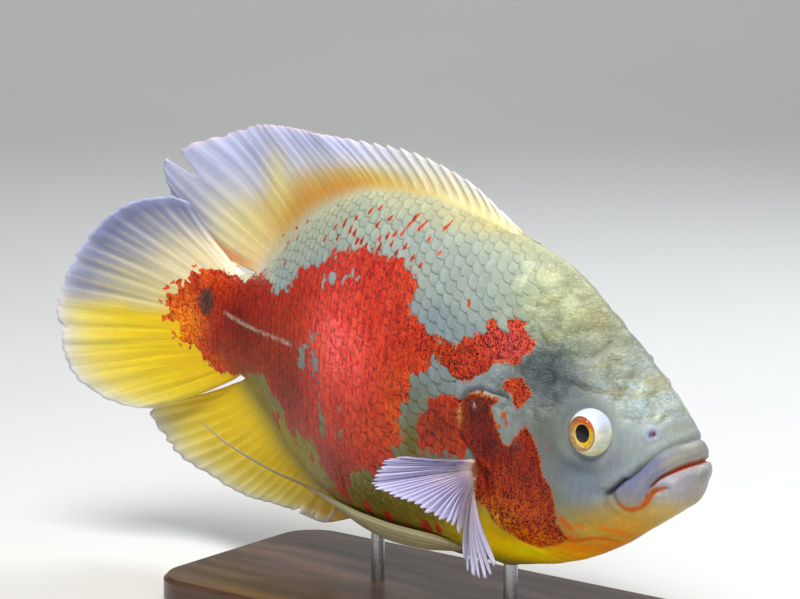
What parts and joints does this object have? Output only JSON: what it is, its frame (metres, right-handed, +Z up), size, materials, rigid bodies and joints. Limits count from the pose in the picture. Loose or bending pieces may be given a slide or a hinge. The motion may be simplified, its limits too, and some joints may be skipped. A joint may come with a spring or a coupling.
{
  "type": "oscar fish on a display stand",
  "caption": "Life-size still model of a red, white and yellow oscar cichlid swimming with its tail swung aside, held low over a flat display base by two short rods.",
  "frame": {"origin": "middle of the stand base's underside, on the surface it stands on", "axes": "+X towards the snout along the line from tail to snout, +Y to the fish's left, +Z up"},
  "size_m": [0.2934, 0.1124, 0.1703],
  "materials": {
    "skin": "satin, wet-looking scaled skin: pale grey-white head and back, red-orange flank, yellow belly",
    "fin": "satin rayed fin membrane, cream and lavender-white to yellow",
    "eye": "glossy cream eyeball, orange and yellow iris, black pupil",
    "stand_wood": "dark oiled hardwood, satin",
    "stand_steel": "brushed stainless steel"
  },
  "bodies": {
    "root": {"head": "skin", "upper_lip": "skin", "lower_jaw": "skin", "gill_cover_right": "skin", "gill_cover_left": "skin", "trunk": "skin", "tail": "skin", "dorsal_fin": "fin", "anal_fin": "fin", "caudal_fin": "fin", "pectoral_fin_right": "fin", "pectoral_fin_left": "fin", "pelvic_fin_right": "fin", "pelvic_fin_left": "fin", "eye_right": "eye", "eye_left": "eye", "stand_base": "stand_wood", "stand_rod_front": "stand_steel", "stand_rod_rear": "stand_steel"}
  },
  "joints": []
}
